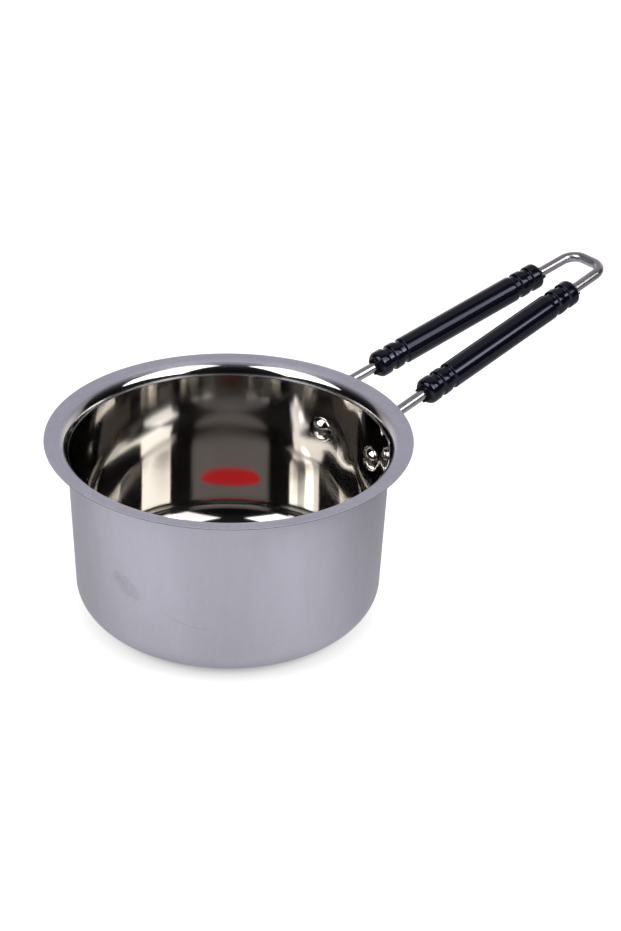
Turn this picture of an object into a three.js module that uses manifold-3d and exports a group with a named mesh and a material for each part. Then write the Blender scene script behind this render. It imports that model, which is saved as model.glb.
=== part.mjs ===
// A stainless steel saucepan with a bent wire handle: a drawn pan with a flared rim, one wire bent to a
// loop with two flattened ends, two rivets, two turned grips on liners, and a blank label on the floor.
// Millimetres. +Z is up, the origin is the middle of the base, and the handle points along +X.
import * as THREE from "three";
import { mergeVertices, toCreasedNormals } from "three/addons/utils/BufferGeometryUtils.js";
import Module from "manifold-3d";

const wasm = await Module();
wasm.setup();

// Drawn steel pan
const SHEET = 0.6;
const RIM_DIAMETER = 184;
const MOUTH_DIAMETER = 160;
const BODY_HEIGHT = 97;
const WALL_TAPER = THREE.MathUtils.degToRad(2.2);
const FLARE_RADIUS = 7.7;
const CORNER_WIDTH = 22.5;
const CORNER_HEIGHT = 17.3;

// Bent wire handle
const WIRE_DIAMETER = 5.5;
const WIRE_BELOW_FLARE = 2.3;
const WIRE_BEND_RADIUS = 7;
const LEG_SPREAD_AT_PAN = 40.6;
const LEG_SPREAD_AT_LOOP = 24;
const HANDLE_RISE = THREE.MathUtils.degToRad(13.2);
const LOOP_LENGTH = 26.6;
const LOOP_CORNER_RADIUS = 8.4;
const PADDLE_WIDTH = 12;
const PADDLE_THICKNESS = 2.2;
const PADDLE_FLAT_PAST_HOLE = 1.2;
const TIP_BLUNTNESS = THREE.MathUtils.degToRad(12);
const FLAT_SQUARENESS = 0.5;

// Rivets
const RIVET_BELOW_WIRE = 19.2;
const RIVET_SHANK_DIAMETER = 5;
const RIVET_HEAD_DIAMETER = 13.6;
const RIVET_HEAD_HEIGHT = 4;
const RIVET_TAIL_DIAMETER = 9;
const RIVET_TAIL_HEIGHT = 1.8;

// Turned grips, one on each leg
const GRIP_DIAMETER = 14.2;
const GRIP_LENGTH = 114.6;
const GRIP_GAP_TO_RIM = 21;
const GRIP_PAN_END_RADIUS = 3.4;
const GRIP_LOOP_END_RADIUS = 2.6;
const GROOVE_DEPTH = 1;
const GROOVE_SLOPE = THREE.MathUtils.degToRad(35);
const GROOVE_BOTTOM_RADIUS = 0.5;
const GROOVES_FROM_PAN_END = [9.3, 17.4];
const GROOVES_FROM_LOOP_END = [8.4, 16.5];

// Soft liners that hold the grips tight on the wire
const LINER_WALL = 1.3;
const LINER_SHOWS = 2.2;
const LINER_TRIM_ANGLE = THREE.MathUtils.degToRad(20);

// Blank oval label on the floor, stuck on a little off the middle
const LABEL_LENGTH = 23;
const LABEL_WIDTH = 16;
const LABEL_THICKNESS = 0.2;
const LABEL_OFF_MIDDLE = 15.6;
const LABEL_AZIMUTH = THREE.MathUtils.degToRad(54.5);

// Gap left between pieces that touch on the real pan
const CLEARANCE = 0.3;

// Facets
const PAN_SEGMENTS = 64;
const SMALL_SEGMENTS = 24;
const WIRE_SIDES = 12;
const ARC_STEPS = 6;
const SHORT_ARC_STEPS = 3;

const steel = { roughness: 0.3, metalness: 1 };
const satinSteel = new THREE.MeshStandardMaterial({ color: 0xb4b4c0, ...steel });
const polishedSteel = new THREE.MeshStandardMaterial({ color: 0xc9c6c0, roughness: 0.12, metalness: 1 });
const blackPlastic = new THREE.MeshStandardMaterial({ color: 0x0d0d14, roughness: 0.32, metalness: 0 });
const blackLiner = new THREE.MeshStandardMaterial({ color: 0x08080a, roughness: 0.7, metalness: 0 });
const redLabel = new THREE.MeshStandardMaterial({ color: 0xb31218, roughness: 0.45, metalness: 0 });

// Solids and meshes

// A geometry with its shared vertices merged and its collapsed triangles left out.
function welded(geometry) {
  const bare = new THREE.BufferGeometry().setAttribute("position", geometry.getAttribute("position"));
  if (geometry.index) bare.setIndex(geometry.index);
  const merged = mergeVertices(bare, 1e-4);
  const kept = [];
  const index = merged.index.array;
  for (let i = 0; i < index.length; i += 3) {
    const [a, b, c] = [index[i], index[i + 1], index[i + 2]];
    if (a !== b && b !== c && c !== a) kept.push(a, b, c);
  }
  merged.setIndex(kept);
  return merged;
}

function solidOf(geometry) {
  const closed = welded(geometry);
  return new wasm.Manifold(
    new wasm.Mesh({
      numProp: 3,
      vertProperties: closed.getAttribute("position").array,
      triVerts: new Uint32Array(closed.index.array),
    }),
  );
}

function geometryOf(solid) {
  const { vertProperties, triVerts, numProp } = solid.getMesh();
  const geometry = new THREE.BufferGeometry();
  const positions = new THREE.InterleavedBuffer(vertProperties, numProp);
  geometry.setAttribute("position", new THREE.InterleavedBufferAttribute(positions, 3, 0));
  geometry.setIndex(new THREE.BufferAttribute(triVerts, 1));
  return geometry.toNonIndexed();
}

function mesh(name, geometry, material) {
  const creased = toCreasedNormals(geometry, Math.PI / 6);
  const made = new THREE.Mesh(creased, material);
  made.name = name;
  return made;
}

// A profile of (radius, height) points turned about +Z. The points run so that the solid is on their left.
function revolve(profile, segments) {
  return welded(new THREE.LatheGeometry(profile, segments).rotateX(Math.PI / 2));
}

function point(r, z) {
  return new THREE.Vector2(r, z);
}

// Points on an arc of a profile, from one angle to another, both ends included.
function arc(centre, radius, from, to, steps = ARC_STEPS) {
  return Array.from({ length: steps + 1 }, (_, i) => {
    const angle = from + ((to - from) * i) / steps;
    return point(centre.x + radius * Math.cos(angle), centre.y + radius * Math.sin(angle));
  });
}

// Drawn pan

const right = Math.PI / 2;
const rimRadius = RIM_DIAMETER / 2;
const flareCentre = point(0, BODY_HEIGHT - SHEET - FLARE_RADIUS);
flareCentre.x = MOUTH_DIAMETER / 2 + (SHEET + FLARE_RADIUS) * Math.cos(WALL_TAPER);
const wallTop = point(
  flareCentre.x - FLARE_RADIUS * Math.cos(WALL_TAPER),
  flareCentre.y + FLARE_RADIUS * Math.sin(WALL_TAPER),
);

// Outside radius of the tapering wall at a height.
function wallRadius(z) {
  return wallTop.x + (z - wallTop.y) * Math.tan(WALL_TAPER);
}

// The bottom corner from base to wall: a quarter of an ellipse laid against both, moved inwards by an inset.
function cornerCurve(inset) {
  return Array.from({ length: ARC_STEPS + 1 }, (_, i) => {
    const t = (right * i) / ARC_STEPS;
    const z = CORNER_HEIGHT * (1 - Math.cos(t));
    const r = wallRadius(z) - CORNER_WIDTH * (1 - Math.sin(t));
    const climb = CORNER_HEIGHT * Math.sin(t);
    const run = CORNER_WIDTH * Math.cos(t) + climb * Math.tan(WALL_TAPER);
    return point(-climb, run).setLength(inset).add(point(r, z));
  });
}

function panProfile() {
  const flareFrom = Math.PI - WALL_TAPER;
  const rimCentre = point(rimRadius - SHEET / 2, BODY_HEIGHT - SHEET / 2);
  const outside = [
    point(0, 0),
    ...cornerCurve(0),
    ...arc(flareCentre, FLARE_RADIUS, flareFrom, right),
    ...arc(rimCentre, SHEET / 2, -right, right, SHORT_ARC_STEPS),
  ];
  const inside = [
    ...arc(flareCentre, FLARE_RADIUS + SHEET, right, flareFrom),
    ...cornerCurve(SHEET).reverse(),
    point(0, SHEET),
  ];
  return [...outside, ...inside];
}

// Rivet seats: on the wall, one to each side of the handle

const wireCornerHeight = flareCentre.y - WIRE_BELOW_FLARE;
const rivetHeight = wireCornerHeight - RIVET_BELOW_WIRE;
const seatAzimuth = Math.asin(LEG_SPREAD_AT_PAN / 2 / wallRadius(rivetHeight));

// The frame of a seat: x along the wall's outward normal, y level, z up the wall.
function wallSeat(side) {
  const azimuth = side * seatAzimuth;
  const radius = wallRadius(rivetHeight);
  const frame = new THREE.Matrix4().makeRotationZ(azimuth);
  frame.multiply(new THREE.Matrix4().makeRotationY(WALL_TAPER));
  frame.setPosition(radius * Math.cos(azimuth), radius * Math.sin(azimuth), rivetHeight);
  return frame;
}

// A cylinder along a seat's normal.
function seatBore(side, diameter, length) {
  const bore = new THREE.CylinderGeometry(diameter / 2, diameter / 2, length, SMALL_SEGMENTS);
  bore.rotateZ(right).applyMatrix4(wallSeat(side));
  return solidOf(bore);
}

const rivetHoleDiameter = RIVET_SHANK_DIAMETER + 2 * CLEARANCE;
const rivetGrip = SHEET + PADDLE_THICKNESS + 2 * CLEARANCE;
const boreLength = 4 * rivetGrip;

function makePan() {
  let solid = solidOf(revolve(panProfile(), PAN_SEGMENTS));
  for (const side of [1, -1]) solid = solid.subtract(seatBore(side, rivetHoleDiameter, boreLength));
  return mesh("pan_body", geometryOf(solid), satinSteel);
}

// Wire: a flattened end on the wall, a bend, a straight leg, the loop, and the same back again

function seatPoint(side, alongNormal, upWall) {
  return new THREE.Vector3(alongNormal, 0, upWall).applyMatrix4(wallSeat(side));
}

const legLength = GRIP_GAP_TO_RIM + GRIP_LENGTH + LOOP_LENGTH;
const wireCornerUpWall = RIVET_BELOW_WIRE / Math.cos(WALL_TAPER);
const bendReach = WIRE_BEND_RADIUS * Math.tan((right - HANDLE_RISE) / 2);
const flatEnd = rivetHoleDiameter / 2 + PADDLE_FLAT_PAST_HOLE;
const bendStart = wireCornerUpWall - bendReach;

// Thickness of the wire at a share of flattening, and the place of its middle off the wall.
function wireThickness(flat) {
  return THREE.MathUtils.lerp(WIRE_DIAMETER, PADDLE_THICKNESS, flat);
}

function offWall(flat) {
  return CLEARANCE + wireThickness(flat) / 2;
}

// Where a leg would meet the wall, and where it would meet the loop's end bar.
function wireCorner(side) {
  return seatPoint(side, offWall(0), wireCornerUpWall);
}

function loopCorner(side) {
  const start = wireCorner(side);
  const x = rimRadius + legLength * Math.cos(HANDLE_RISE);
  const z = start.z + (x - start.x) * Math.tan(HANDLE_RISE);
  return new THREE.Vector3(x, (side * LEG_SPREAD_AT_LOOP) / 2, z);
}

// An arc that rounds the corner b between a and c.
function roundedCorner(a, b, c, radius) {
  const into = new THREE.Vector3().subVectors(b, a).normalize();
  const out = new THREE.Vector3().subVectors(c, b).normalize();
  const turn = into.angleTo(out);
  const axis = new THREE.Vector3().crossVectors(into, out).normalize();
  const toCentre = new THREE.Vector3().crossVectors(axis, into);
  const start = b.clone().addScaledVector(into, -radius * Math.tan(turn / 2));
  const centre = start.clone().addScaledVector(toCentre, radius);
  return Array.from({ length: ARC_STEPS + 1 }, (_, i) => {
    const arm = toCentre.clone().negate().applyAxisAngle(axis, (turn * i) / ARC_STEPS);
    return centre.clone().addScaledVector(arm, radius);
  });
}

// Stations of the wire on the wall, from the tip up to the bend: the round tip, the flat, then easing to round.
function paddleStations(side) {
  const tipRadius = PADDLE_WIDTH / 2;
  const station = (upWall, width, flat) => ({
    centre: seatPoint(side, offWall(flat), upWall),
    thickness: wireThickness(flat),
    width,
    flat,
  });
  const stations = [];
  for (let i = 0; i < ARC_STEPS; i += 1) {
    const angle = TIP_BLUNTNESS + ((right - TIP_BLUNTNESS) * i) / ARC_STEPS;
    stations.push(station(-tipRadius * Math.cos(angle), PADDLE_WIDTH * Math.sin(angle), 1));
  }
  stations.push(station(0, PADDLE_WIDTH, 1));
  for (let i = 0; i < ARC_STEPS; i += 1) {
    const share = i / ARC_STEPS;
    const flat = 1 - THREE.MathUtils.smoothstep(share, 0, 1);
    const upWall = THREE.MathUtils.lerp(flatEnd, bendStart, share);
    stations.push(station(upWall, THREE.MathUtils.lerp(WIRE_DIAMETER, PADDLE_WIDTH, flat), flat));
  }
  return stations;
}

// Stations of one half of the wire, from the tip of its flattened end to the loop.
function halfWire(side) {
  const foot = seatPoint(side, offWall(0), 0);
  const corner = wireCorner(side);
  const far = loopCorner(side);
  const bends = [
    ...roundedCorner(foot, corner, far, WIRE_BEND_RADIUS),
    ...roundedCorner(corner, far, far.clone().setY(0), LOOP_CORNER_RADIUS),
  ];
  const round = { thickness: WIRE_DIAMETER, width: WIRE_DIAMETER, flat: 0 };
  return [...paddleStations(side), ...bends.map((centre) => ({ centre, ...round }))];
}

// The wire's section at a station: a circle that squares up as it flattens.
function wireSection({ thickness, width, flat }) {
  const power = THREE.MathUtils.lerp(1, FLAT_SQUARENESS, flat);
  return Array.from({ length: WIRE_SIDES }, (_, i) => {
    const angle = (2 * Math.PI * (i + 0.5)) / WIRE_SIDES;
    const x = Math.cos(angle);
    const y = Math.sin(angle);
    return point(
      (thickness / 2) * Math.sign(x) * Math.abs(x) ** power,
      (width / 2) * Math.sign(y) * Math.abs(y) ** power,
    );
  });
}

// Rings of points joined into one closed skin, with a flat fan on each end.
function skin(rings) {
  const sides = rings[0].length;
  const positions = rings.flat().flatMap((p) => [p.x, p.y, p.z]);
  const faces = [];
  for (let i = 0; i + 1 < rings.length; i += 1) {
    for (let j = 0; j < sides; j += 1) {
      const next = (j + 1) % sides;
      const [a, b] = [i * sides + j, i * sides + next];
      const [c, d] = [a + sides, b + sides];
      faces.push(a, b, d, a, d, c);
    }
  }
  const last = (rings.length - 1) * sides;
  for (let j = 1; j + 1 < sides; j += 1) {
    faces.push(0, j + 1, j, last, last + j, last + j + 1);
  }
  const geometry = new THREE.BufferGeometry();
  geometry.setAttribute("position", new THREE.Float32BufferAttribute(positions, 3));
  geometry.setIndex(faces);
  return geometry;
}

function makeWire() {
  const stations = [...halfWire(1), ...halfWire(-1).reverse()];
  const normal = new THREE.Vector3(1, 0, 0).transformDirection(wallSeat(1));
  const rings = stations.map((station, i) => {
    const before = stations[Math.max(i - 1, 0)].centre;
    const after = stations[Math.min(i + 1, stations.length - 1)].centre;
    const tangent = new THREE.Vector3().subVectors(after, before).normalize();
    normal.addScaledVector(tangent, -normal.dot(tangent)).normalize();
    const across = new THREE.Vector3().crossVectors(tangent, normal);
    return wireSection(station).map((s) =>
      station.centre.clone().addScaledVector(normal, s.x).addScaledVector(across, s.y),
    );
  });
  let solid = solidOf(skin(rings));
  for (const side of [1, -1]) solid = solid.subtract(seatBore(side, rivetHoleDiameter, boreLength));
  return mesh("handle_wire", geometryOf(solid), polishedSteel);
}

// Rivets: a domed head inside the pan, a shank through wall and paddle, and a set tail outside

// A shallow dome standing on the plane at a height, as a profile from its rim to the axis.
function dome(radius, height, base, direction) {
  const sphere = (radius * radius + height * height) / (2 * height);
  const centre = base + direction * (height - sphere);
  const opening = Math.asin(Math.min(radius / sphere, 1));
  const from = height > radius ? Math.PI - opening : opening;
  return Array.from({ length: ARC_STEPS }, (_, i) => {
    const angle = from * (1 - i / (ARC_STEPS - 1));
    return point(sphere * Math.sin(angle), centre + direction * sphere * Math.cos(angle));
  });
}

// The room inside the wall, less the clearance, which trims the head to the wall's curve.
function roomInsideWall() {
  const inset = SHEET / Math.cos(WALL_TAPER) + CLEARANCE;
  const low = rivetHeight - RIVET_HEAD_DIAMETER;
  const high = rivetHeight + RIVET_HEAD_DIAMETER;
  const outline = [
    point(0, low),
    point(wallRadius(low) - inset, low),
    point(wallRadius(high) - inset, high),
    point(0, high),
  ];
  return solidOf(revolve(outline, PAN_SEGMENTS));
}

function makeRivet(name, side) {
  const headBase = -SHEET - CLEARANCE;
  const tailBase = rivetGrip - SHEET;
  const head = [
    ...dome(RIVET_HEAD_DIAMETER / 2, RIVET_HEAD_HEIGHT, headBase, -1).reverse(),
    point(RIVET_HEAD_DIAMETER / 2, 0),
    point(0, 0),
  ];
  const shank = [
    point(0, headBase - RIVET_HEAD_HEIGHT / 2),
    point(RIVET_SHANK_DIAMETER / 2, headBase - RIVET_HEAD_HEIGHT / 2),
    point(RIVET_SHANK_DIAMETER / 2, tailBase),
    ...dome(RIVET_TAIL_DIAMETER / 2, RIVET_TAIL_HEIGHT, tailBase, 1),
  ];
  const place = (profile) => {
    const turned = revolve(profile, SMALL_SEGMENTS).rotateY(right);
    return solidOf(turned.applyMatrix4(wallSeat(side)));
  };
  const solid = place(head).intersect(roomInsideWall()).add(place(shank));
  return mesh(name, geometryOf(solid), polishedSteel);
}

// Grips and liners lie along a leg

const linerInside = WIRE_DIAMETER + 2 * CLEARANCE;
const linerOutside = linerInside + 2 * LINER_WALL;
const gripBore = linerOutside + 2 * CLEARANCE;

// The frame at the pan end of a grip: z runs along the leg towards the loop.
function legFrame(side) {
  const corner = wireCorner(side);
  const direction = loopCorner(side).sub(corner).normalize();
  const x = rimRadius + GRIP_GAP_TO_RIM * Math.cos(HANDLE_RISE);
  const frame = new THREE.Group();
  frame.position.copy(corner).addScaledVector(direction, (x - corner.x) / direction.x);
  frame.quaternion.setFromUnitVectors(new THREE.Vector3(0, 0, 1), direction);
  return frame;
}

// A turned groove centred at a place along the grip: sloping sides and a round bottom, as a cutting tool leaves it.
function groove(at) {
  const outer = GRIP_DIAMETER / 2;
  const centre = point(outer - GROOVE_DEPTH + GROOVE_BOTTOM_RADIUS, at);
  const [from, to] = [Math.PI + GROOVE_SLOPE, Math.PI - GROOVE_SLOPE];
  const bottom = arc(centre, GROOVE_BOTTOM_RADIUS, from, to, SHORT_ARC_STEPS);
  const half = at - bottom[0].y + (outer - bottom[0].x) / Math.tan(GROOVE_SLOPE);
  return [point(outer, at - half), ...bottom, point(outer, at + half)];
}

function gripProfile() {
  const outer = GRIP_DIAMETER / 2;
  const panEnd = point(outer - GRIP_PAN_END_RADIUS, GRIP_PAN_END_RADIUS);
  const loopEnd = point(outer - GRIP_LOOP_END_RADIUS, GRIP_LENGTH - GRIP_LOOP_END_RADIUS);
  const fromLoopEnd = GROOVES_FROM_LOOP_END.map((distance) => GRIP_LENGTH - distance).reverse();
  const outline = [
    point(gripBore / 2, 0),
    ...arc(panEnd, GRIP_PAN_END_RADIUS, -right, 0),
    ...[...GROOVES_FROM_PAN_END, ...fromLoopEnd].flatMap(groove),
    ...arc(loopEnd, GRIP_LOOP_END_RADIUS, 0, right, SHORT_ARC_STEPS),
    point(gripBore / 2, GRIP_LENGTH),
  ];
  return [...outline, outline[0]];
}

function makeGrip(name) {
  return mesh(name, revolve(gripProfile(), SMALL_SEGMENTS), blackPlastic);
}

// A tube a little longer than the grip, its ends trimmed at a slant with a knife.
function makeLiner(name, side) {
  const slant = linerOutside * Math.tan(LINER_TRIM_ANGLE);
  const low = -LINER_SHOWS - slant / 2;
  const high = GRIP_LENGTH + LINER_SHOWS + slant / 2;
  const outline = [
    point(linerInside / 2, low),
    point(linerOutside / 2, low),
    point(linerOutside / 2, high),
    point(linerInside / 2, high),
    point(linerInside / 2, low),
  ];
  let solid = solidOf(revolve(outline, SMALL_SEGMENTS));
  const knife = 4 * linerOutside;
  for (const [end, outwards] of [[-LINER_SHOWS, -1], [GRIP_LENGTH + LINER_SHOWS, 1]]) {
    const blade = new THREE.BoxGeometry(knife, knife, knife).translate(0, 0, (outwards * knife) / 2);
    blade.rotateX(side * outwards * LINER_TRIM_ANGLE).translate(0, 0, end);
    solid = solid.subtract(solidOf(blade));
  }
  return mesh(name, geometryOf(solid), blackLiner);
}

// Label: a thin blank oval sticker lying on the floor

function makeLabel() {
  const outline = new THREE.Shape();
  outline.absellipse(0, 0, LABEL_LENGTH / 2, LABEL_WIDTH / 2, 0, 2 * Math.PI);
  const options = { depth: LABEL_THICKNESS, bevelEnabled: false, curveSegments: SMALL_SEGMENTS };
  const sticker = new THREE.ExtrudeGeometry(outline, options);
  sticker.translate(LABEL_OFF_MIDDLE, 0, SHEET).rotateZ(LABEL_AZIMUTH);
  return mesh("floor_label", welded(sticker), redLabel);
}

// Assembly

const saucepan = new THREE.Group();
saucepan.add(makePan(), makeWire(), makeLabel());
for (const [hand, side] of [["left", 1], ["right", -1]]) {
  const leg = legFrame(side);
  leg.add(makeGrip(`${hand}_grip`), makeLiner(`${hand}_grip_liner`, side));
  saucepan.add(leg, makeRivet(`${hand}_rivet`, side));
}

export default saucepan;
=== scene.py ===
"""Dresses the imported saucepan: pan, bent wire, rivets, grips, liners and label, in a small studio.

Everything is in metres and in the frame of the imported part: origin in the middle of the base, +X along the
handle, +Z up.
"""

import math

import bpy
import numpy as np
from bpy.props import FloatProperty, FloatVectorProperty, PointerProperty
from mathutils import Matrix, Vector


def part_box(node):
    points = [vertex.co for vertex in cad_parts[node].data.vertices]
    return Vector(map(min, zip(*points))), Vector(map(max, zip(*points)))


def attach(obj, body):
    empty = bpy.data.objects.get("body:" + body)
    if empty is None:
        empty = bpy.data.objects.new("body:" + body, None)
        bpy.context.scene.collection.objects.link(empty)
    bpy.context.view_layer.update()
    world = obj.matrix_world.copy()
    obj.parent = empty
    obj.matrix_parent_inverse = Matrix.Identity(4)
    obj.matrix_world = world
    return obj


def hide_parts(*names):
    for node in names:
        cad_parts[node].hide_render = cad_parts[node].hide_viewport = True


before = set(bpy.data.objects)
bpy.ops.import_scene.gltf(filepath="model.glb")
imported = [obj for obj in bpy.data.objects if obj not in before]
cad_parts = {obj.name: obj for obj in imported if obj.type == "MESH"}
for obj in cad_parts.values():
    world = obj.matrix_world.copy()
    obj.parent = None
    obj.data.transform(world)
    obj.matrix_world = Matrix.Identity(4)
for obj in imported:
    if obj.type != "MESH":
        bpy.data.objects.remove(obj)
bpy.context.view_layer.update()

bl_info = {
    "name": "Saucepan",
    "version": (1, 0, 0),
    "blender": (4, 5, 0),
    "location": "View3D > Sidebar > Saucepan",
    "description": "Builds a steel saucepan with a wire loop handle, piece by piece, in a small studio",
    "category": "Add Mesh",
}

PAN_LOW, PAN_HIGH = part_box("pan_body")
SIDES = {"left": 1.0, "right": -1.0}
TURN = 2.0 * math.pi
RIGHT = math.pi / 2.0
MM = 0.001
UP = np.array([0.0, 0.0, 1.0])
BLACK, WHITE = (0.0, 0.0, 0.0), (1.0, 1.0, 1.0)

# Points round each piece
PAN_ROUND, WIRE_ROUND, RIVET_ROUND, GRIP_ROUND, LINER_ROUND, LABEL_ROUND = 320, 32, 64, 72, 144, 96

# Heights between which the rim turns matt, and the inside corner turns dull and painted darker as shade,
# from above and from below
MATT_RIM = (0.0925, 0.0962)
DULL_SHADED_FROM_TOP, DULL_SHADED_FROM_FLOOR = (0.019, 0.015), (0.003, 0.008)

# The thumb mark on the wall, where the skin cuts through an ellipsoid, and the steel's colour in marks and
# in the painted shade along the rim's edge
THUMB_PLACE = (-0.0766, -0.0186, 0.047)
THUMB_TURN = (0.0, 0.559, -1.311)
THUMB_SIZE = (0.0125, 0.0062, 0.0062)
MARKS_AND_SHADE_STEEL = (0.03, 0.034, 0.03)

# The scratch on the wall: where a thin plane meets the skin, within a ball about its middle
SCRATCH_PLANE = (-0.618, -0.628, 0.473)
SCRATCH_OFFSET = 84.39 * MM
SCRATCH_HALF_WIDTH = 0.4 * MM
SCRATCH_MIDDLE = (-0.0623, -0.0477, 0.0337)
SCRATCH_REACH = (0.018, 0.018, 0.018)

# The camera: its tilt and roll, and the way from it to the base, right, down and ahead, in rim radii
CAMERA_PITCH = math.radians(29.06)
CAMERA_ROLL = math.radians(1.55)
CAMERA_TO_PAN = (-0.465, 0.757, 12.981)

# Lights: azimuth from the camera's side, elevation, azimuth faced, and lean, in degrees; width and height
LIGHT_DISTANCE = 1.5
LIGHTS = {
    "softbox_left": (-55.2, 56.8, -47.4, -14.6, 0.83, 1.47),
    "softbox_right": (51.9, 60.0, 48.3, 14.6, 0.80, 1.61),
    "softbox_right_lamp": (54.0, 43.0, 48.3, 0.0, 0.28, 0.7),
    "softbox_right_side": (81.0, 40.0, 70.0, 0.0, 0.26, 0.5),
}

# The floor: radius, points round it, drop under the base, and the shadow's two rings, from light to dark
FLOOR_RADIUS, FLOOR_ROUND, FLOOR_DROP = 3.0, 96, 0.2 * MM
SHADOW_TIGHT = (0.0695, 0.0605)
SHADOW_WIDE = (0.088, 0.062)
SHADOW_SHARE = 0.34

# Spikes on the liners' torn ends, by the pan and by the loop: angle in degrees, length, width in radians
TORN = {
    "left": (((215.0, 2.0, 0.28), (60.0, 0.8, 0.2)), ((205.0, 3.2, 0.26), (100.0, 0.7, 0.2))),
    "right": (((50.0, 2.2, 0.3), (240.0, 1.4, 0.22)), ((232.0, 3.4, 0.09), (20.0, 0.8, 0.25))),
}


# Settings


def length(name, description, default):
    """A length in metres."""
    return FloatProperty(name=name, description=description, default=default, precision=5, unit="LENGTH")


def angle(name, description, degrees):
    """An angle, given in degrees and kept in radians."""
    return FloatProperty(name=name, description=description, default=math.radians(degrees), subtype="ANGLE")


def brightness(name, description, default):
    """The radiance of a light."""
    return FloatProperty(name=name, description=description, default=default)


def colour(name, description, default):
    """A linear colour."""
    return FloatVectorProperty(
        name=name, description=description, default=default, size=3, min=0.0, max=1.0, subtype="COLOR"
    )


class PanSizes(bpy.types.PropertyGroup):
    """Sizes of the drawn pan."""

    sheet: length("Sheet", "Thickness of the steel", 0.6 * MM)
    rim_radius: length("Rim radius", "Half the width across the rim", 92 * MM)
    mouth_radius: length("Mouth radius", "Inside radius where the wall meets the flare", 80 * MM)
    height: length("Height", "From the base to the top of the rim", PAN_HIGH[2] - PAN_LOW[2])
    taper: angle("Taper", "Lean of the wall", 2.2)
    flare_radius: length("Flare radius", "Curve under the flared rim", 7.7 * MM)
    neck_turn: angle("Neck turn", "Lean of the flare where it leaves the wall at a crisp line", 18)
    neck_radius: length("Neck radius", "Radius of that crisp line", 0.35 * MM)
    corner_width: length("Corner width", "How far the bottom corner reaches in from the wall", 22.5 * MM)
    corner_height: length("Corner height", "How far the bottom corner reaches up the wall", 17.3 * MM)


class HandleSizes(bpy.types.PropertyGroup):
    """Sizes of the bent wire and its rivets."""

    wire_diameter: length("Wire", "Diameter of the wire", 5.5 * MM)
    below_flare: length("Below flare", "Drop from the flare's middle to the wire's corner", 2.3 * MM)
    bend_radius: length("Bend", "Radius of the bend at the wall", 7 * MM)
    spread_at_pan: length("Spread at pan", "Between the rivets", 40.6 * MM)
    spread_at_loop: length("Spread at loop", "Between the legs at the loop", 24 * MM)
    rise: angle("Rise", "Slope of the handle", 13.2)
    loop_length: length("Loop length", "From the grips to the end of the loop", 26.6 * MM)
    loop_radius: length("Loop corner", "Radius of the loop's corners", 8.4 * MM)
    paddle_width: length("Paddle width", "Width of a flattened end", 12 * MM)
    paddle_thickness: length("Paddle thickness", "Thickness of a flattened end", 2.2 * MM)
    paddle_flat: length("Paddle flat", "Flat length above the rivet's middle", 4 * MM)
    rivet_below: length("Rivet drop", "From the wire's corner to the rivet", 19.2 * MM)
    head_radius: length("Head radius", "Domed head inside the pan", 6.8 * MM)
    head_height: length("Head height", "Height of the domed head", 4 * MM)
    tail_radius: length("Tail radius", "Set end outside", 4.5 * MM)
    tail_height: length("Tail height", "Height of the set end", 1.8 * MM)
    shank_radius: length("Shank radius", "Rivet between wall and paddle", 2.5 * MM)
    clearance: length("Clearance", "Gap between pieces", 0.3 * MM)


class GripSizes(bpy.types.PropertyGroup):
    """Sizes of the turned grips and of the liners in them."""

    radius: length("Radius", "Half the grip's width", 7.1 * MM)
    length: length("Length", "From end to end", 114.6 * MM)
    gap_to_rim: length("Gap to rim", "Bare wire between the rim and the grip", 21 * MM)
    pan_end_radius: length("Pan end", "Rounding of the end by the pan", 3.4 * MM)
    loop_end_radius: length("Loop end", "Rounding of the end by the loop", 2.6 * MM)
    groove_depth: length("Groove depth", "Depth of the turned grooves", 1.15 * MM)
    groove_width: length("Groove width", "Across a groove at its top", 4.2 * MM)
    pan_groove: length("Pan groove", "First groove from the pan end", 9.3 * MM)
    loop_groove: length("Loop groove", "First groove from the loop end", 8.4 * MM)
    groove_pitch: length("Groove pitch", "Between two grooves", 8.1 * MM)
    bore_radius: length("Bore", "Radius of the hole through the grip", 4.65 * MM)
    liner_outside: length("Liner outside", "Outside radius of the liner", 4.35 * MM)
    liner_inside: length("Liner inside", "Inside radius of the liner", 3.05 * MM)
    liner_shows: length("Liner shows", "How far the liner stands out of the grip", 2.2 * MM)


class LabelSizes(bpy.types.PropertyGroup):
    """Sizes of the blank oval label on the floor."""

    length: length("Length", "Long axis", 23 * MM)
    width: length("Width", "Short axis", 16 * MM)
    thickness: length("Thickness", "Thickness of the film", 0.2 * MM)
    off_middle: length("Off middle", "From the pan's axis to the label's middle", 15.6 * MM)
    azimuth: angle("Azimuth", "Direction of the label from the pan's axis", 54.5)


class Finishes(bpy.types.PropertyGroup):
    """Colours of the surfaces."""

    satin: colour("Satin steel", "Outside and flat of the rim", (0.50, 0.495, 0.57))
    mirror: colour("Mirror steel", "Inside of the pan", (0.62, 0.6, 0.57))
    wire: colour("Wire", "Drawn wire", (0.5, 0.49, 0.52))
    rivet: colour("Rivet", "Rivet heads", (0.74, 0.72, 0.69))
    grip: colour("Grip", "Black sleeves", (0.002, 0.002, 0.006))
    liner: colour("Liner", "Soft tubes in the grips", (0.002, 0.002, 0.003))
    label: colour("Label", "Blank film", (0.92, 0.014, 0.02))
    floor: colour("Floor", "Studio floor", (0.2, 0.2, 0.2))


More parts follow.
